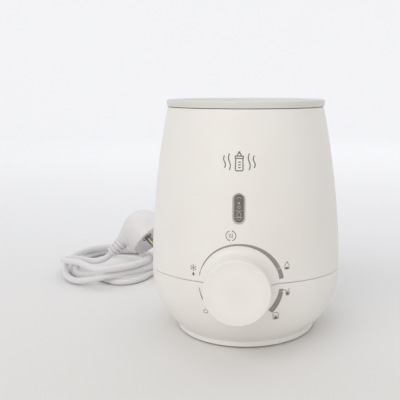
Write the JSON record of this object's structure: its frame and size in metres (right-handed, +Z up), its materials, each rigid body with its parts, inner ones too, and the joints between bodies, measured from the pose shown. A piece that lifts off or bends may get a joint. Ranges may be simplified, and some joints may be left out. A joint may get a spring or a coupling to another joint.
{
  "type": "baby bottle warmer",
  "caption": "Tapered round bottle warmer with a heated water well, front rotary control on a flared boss, indicator window and coiled mains cord with plug.",
  "frame": {"origin": "middle of the heating plate's top face, where the bottle stands, on the housing's upright axis; the floor is 50 mm below", "axes": "+Z up out of the well, -Y towards the front with the knob, +X to the right seen from the front"},
  "size_m": [0.2287, 0.2354, 0.15],
  "materials": {
    "shell_plastic": "satin moulded, fine texture",
    "knob_plastic": "satin moulded",
    "rim_plastic": "satin moulded, light grey",
    "well_plastic": "satin moulded",
    "lens": "gloss, smoked",
    "bezel": "satin grey",
    "rubber": "matt grey",
    "silicone": "matt off-white",
    "aluminium": "turned",
    "steel": "zinc plated",
    "brass": "nickel washed",
    "pin_metal": "nickel plated",
    "board": "solder resist",
    "black_plastic": "moulded",
    "led": "clear",
    "cord_sheath": "flexible sheath, slight sheen",
    "lead_brown": "insulated wire",
    "lead_blue": "insulated wire",
    "lead_green": "insulated wire"
  },
  "bodies": {
    "housing": {"assembly_screw_1": "steel", "assembly_screw_2": "steel", "assembly_screw_3": "steel", "base_screw_1": "steel", "base_screw_2": "steel", "base_screw_3": "steel", "board_lead": "lead_blue", "board_screw_1": "steel", "board_screw_2": "steel", "bottom_cover": "shell_plastic", "clamp_screw_1": "steel", "clamp_screw_2": "steel", "clamp_screw_3": "steel", "control_board": "board", "cord_bush": "silicone", "cord_clamp": "black_plastic", "cord_clamp_screw_1": "steel", "cord_clamp_screw_2": "steel", "earth_contact_1": "steel", "earth_contact_2": "steel", "earth_lead": "lead_green", "element_tab_live": "steel", "element_tab_neutral": "steel", "heating_element": "aluminium", "heating_plate": "aluminium", "indicator_bezel": "bezel", "indicator_lens": "lens", "indicator_light": "led", "live_lead": "lead_brown", "lower_housing": "shell_plastic", "mains_capacitor": "black_plastic", "neutral_lead": "lead_blue", "plate_clamp_ring": "steel", "plug_body": "cord_sheath", "plug_pin_1": "pin_metal", "plug_pin_2": "pin_metal", "plug_sleeve": "cord_sheath", "power_cord": "cord_sheath", "relay": "black_plastic", "rim_ring": "rim_plastic", "rotary_switch": "black_plastic", "rubber_foot_1": "rubber", "rubber_foot_2": "rubber", "rubber_foot_3": "rubber", "rubber_foot_4": "rubber", "sensor_bracket": "steel", "sensor_lead": "lead_brown", "switch_nut": "steel", "temperature_sensor": "brass", "terminal_block": "black_plastic", "thermal_fuse": "steel", "upper_housing": "shell_plastic", "water_well": "well_plastic", "well_seal": "silicone"},
    "knob": {"control_knob": "knob_plastic", "switch_shaft": "steel", "knob_clip": "steel"}
  },
  "joints": [
    {"name": "knob_turn", "type": "hinge", "parent": "housing", "child": "knob", "pos_m": [0, -0.07, -0.0041], "axis": [0, 1, 0], "range_deg": [0, 265]}
  ]
}
